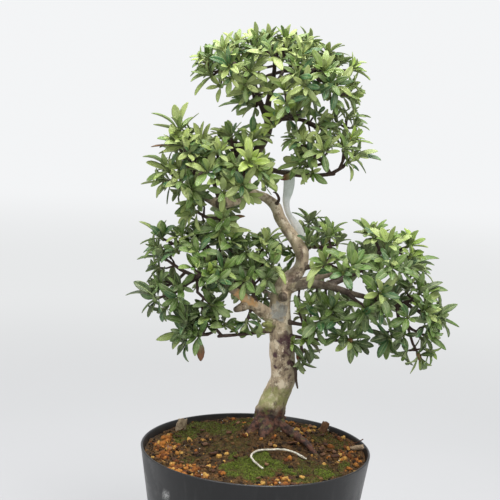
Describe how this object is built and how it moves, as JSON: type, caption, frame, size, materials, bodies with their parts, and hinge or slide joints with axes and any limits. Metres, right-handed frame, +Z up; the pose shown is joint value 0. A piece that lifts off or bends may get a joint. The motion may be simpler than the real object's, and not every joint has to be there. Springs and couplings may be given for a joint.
{
  "type": "potted satsuki azalea bonsai",
  "caption": "Small azalea tree with a winding bare trunk and leafy sprays, growing in soil in a plain tapered plastic pot.",
  "frame": {"origin": "centre of the flat middle pad under the pot, at the height that the pot stands on", "axes": "+Z up along the pot's axis and the tree's height; -Y is the front that the picture shows; +X is the viewer's right"},
  "size_m": [0.2341, 0.1676, 0.434],
  "materials": {
    "pot_plastic": "dark charcoal plastic with a dull sheen",
    "soil": "dark earth with grains of baked clay, moss and bark chips",
    "bark": "flaking grey-brown bark with moss-green patches",
    "leaf": "leathery green leaves with a soft sheen",
    "dry_root": "bleached dry root",
    "tag_plastic": "pale translucent plastic, blank"
  },
  "bodies": {
    "root": {"pot": "pot_plastic", "soil": "soil", "trunk": "bark", "bleached_root": "dry_root", "name_tag": "tag_plastic", "spray_crown_top": "leaf", "spray_crown_left": "leaf", "spray_crown_right": "leaf", "spray_crown_back": "leaf", "spray_crown_middle": "leaf", "spray_crown_low": "leaf", "spray_crown_twig": "leaf", "spray_mid_tip": "leaf", "spray_mid_low": "leaf", "spray_mid_inner": "leaf", "spray_mid_right": "leaf", "spray_mid_back": "leaf", "spray_low_far": "leaf", "spray_low_top": "leaf", "spray_low_bottom": "leaf", "spray_low_near": "leaf", "spray_low_under": "leaf", "spray_low_back": "leaf", "spray_right_inner": "leaf", "spray_right_top": "leaf", "spray_right_outer": "leaf", "spray_right_heart": "leaf", "spray_right_low": "leaf", "spray_right_near": "leaf", "spray_right_side": "leaf", "spray_right_back": "leaf", "spray_high_back": "leaf"}
  },
  "joints": []
}
